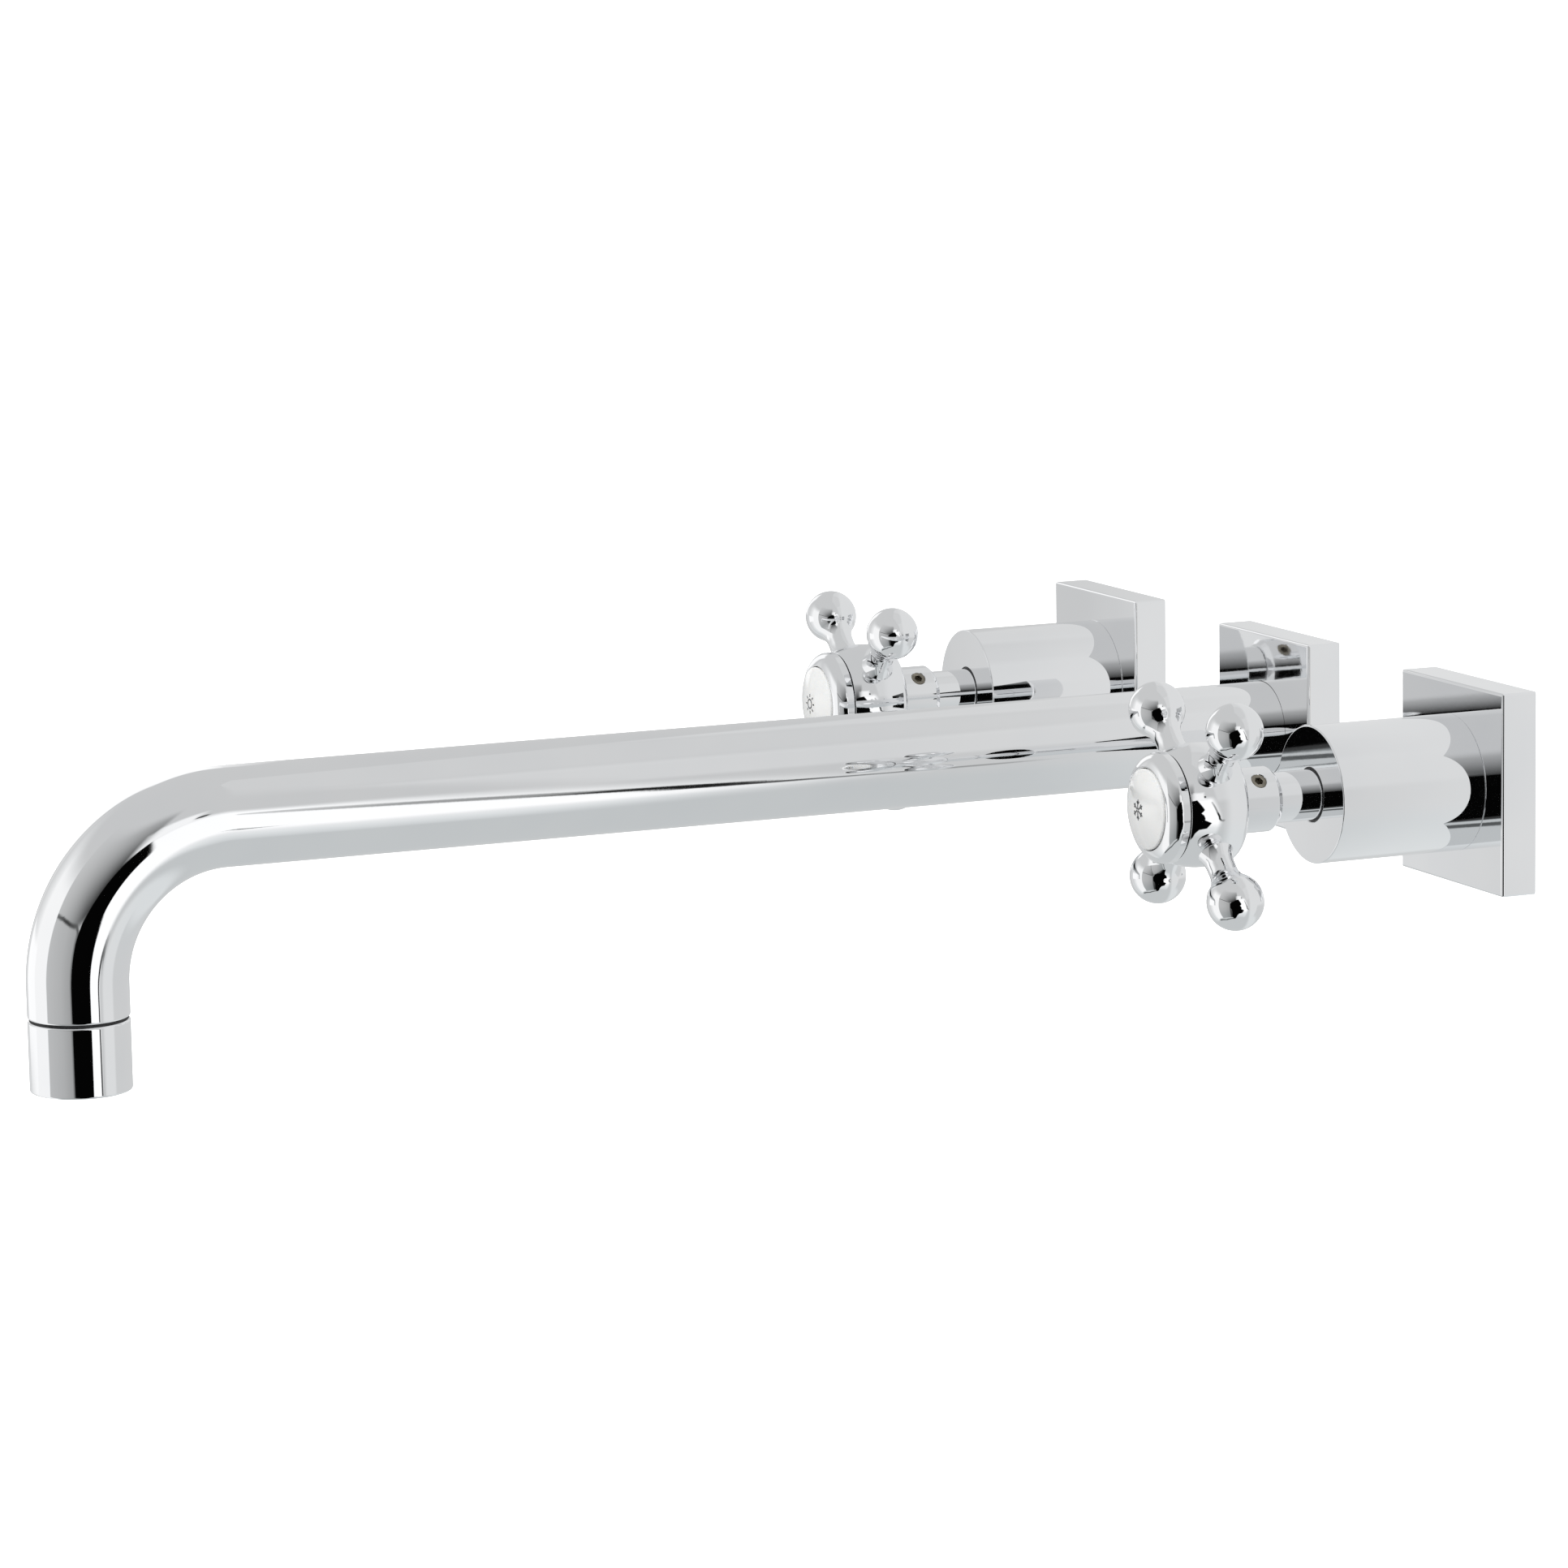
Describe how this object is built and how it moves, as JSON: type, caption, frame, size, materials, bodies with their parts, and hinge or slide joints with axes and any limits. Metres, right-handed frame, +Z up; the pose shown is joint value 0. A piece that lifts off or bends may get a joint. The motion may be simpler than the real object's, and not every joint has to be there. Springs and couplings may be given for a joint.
{
  "type": "wall mounted bath faucet",
  "caption": "Wall mounted bath faucet with a long round tube spout, square wall plates and cross handles with ball ends.",
  "frame": {"origin": "centre of the spout's inlet on the wall plane, behind the middle of the spout's plate", "axes": "-Y points out of the wall along the spout, +X to the right seen from the front, +Z up; the wall is the plane Y = 0"},
  "size_m": [0.2594, 0.36, 0.0936],
  "materials": {
    "chrome": "polished chrome plate on brass",
    "porcelain": "glossy white glaze",
    "brass": "machined",
    "screw_brass": "plain, slightly tarnished",
    "rubber": "matt black",
    "black_plastic": "matt black nylon",
    "white_plastic": "moulded acetal",
    "ceramic": "lapped alumina",
    "steel": "stainless"
  },
  "bodies": {
    "root": {"spout_plate": "chrome", "spout_plate_gasket": "rubber", "spout_plate_oring": "rubber", "spout_tube": "chrome", "spout_inlet_adapter": "brass", "spout_inlet_seal": "rubber", "outlet_seal": "rubber", "aerator_housing": "chrome", "aerator_washer": "rubber", "aerator_screen": "steel", "aerator_cage": "white_plastic", "hot_plate": "chrome", "hot_plate_gasket": "rubber", "hot_plate_carrier": "brass", "hot_sleeve": "chrome", "hot_stem_guide": "black_plastic", "hot_cartridge_shell": "brass", "hot_seat_washer": "rubber", "hot_fixed_disc": "ceramic", "cold_plate": "chrome", "cold_plate_gasket": "rubber", "cold_plate_carrier": "brass", "cold_sleeve": "chrome", "cold_stem_guide": "black_plastic", "cold_cartridge_shell": "brass", "cold_seat_washer": "rubber", "cold_fixed_disc": "ceramic"},
    "hot_handle": {"hot_moving_disc": "ceramic", "hot_spindle": "brass", "hot_spindle_orings": "rubber", "hot_thrust_washer": "white_plastic", "hot_circlip": "steel", "hot_stem_extension": "chrome", "hot_extension_screw": "steel", "hot_handle_hub": "chrome", "hot_arm_1": "chrome", "hot_arm_2": "chrome", "hot_arm_3": "chrome", "hot_arm_4": "chrome", "hot_set_screw": "screw_brass", "hot_bezel": "chrome", "hot_button": "porcelain", "hot_button_oring": "rubber"},
    "cold_handle": {"cold_moving_disc": "ceramic", "cold_spindle": "brass", "cold_spindle_orings": "rubber", "cold_thrust_washer": "white_plastic", "cold_circlip": "steel", "cold_stem_extension": "chrome", "cold_extension_screw": "steel", "cold_handle_hub": "chrome", "cold_arm_1": "chrome", "cold_arm_2": "chrome", "cold_arm_3": "chrome", "cold_arm_4": "chrome", "cold_set_screw": "screw_brass", "cold_bezel": "chrome", "cold_button": "porcelain", "cold_button_oring": "rubber"}
  },
  "joints": [
    {"name": "hot_turn", "type": "hinge", "parent": "root", "child": "hot_handle", "pos_m": [-0.1016, -0.0817, 0], "axis": [0, 1, 0], "range_deg": [0, 90]},
    {"name": "cold_turn", "type": "hinge", "parent": "root", "child": "cold_handle", "pos_m": [0.1016, -0.0817, 0], "axis": [0, -1, 0], "range_deg": [0, 90]}
  ]
}
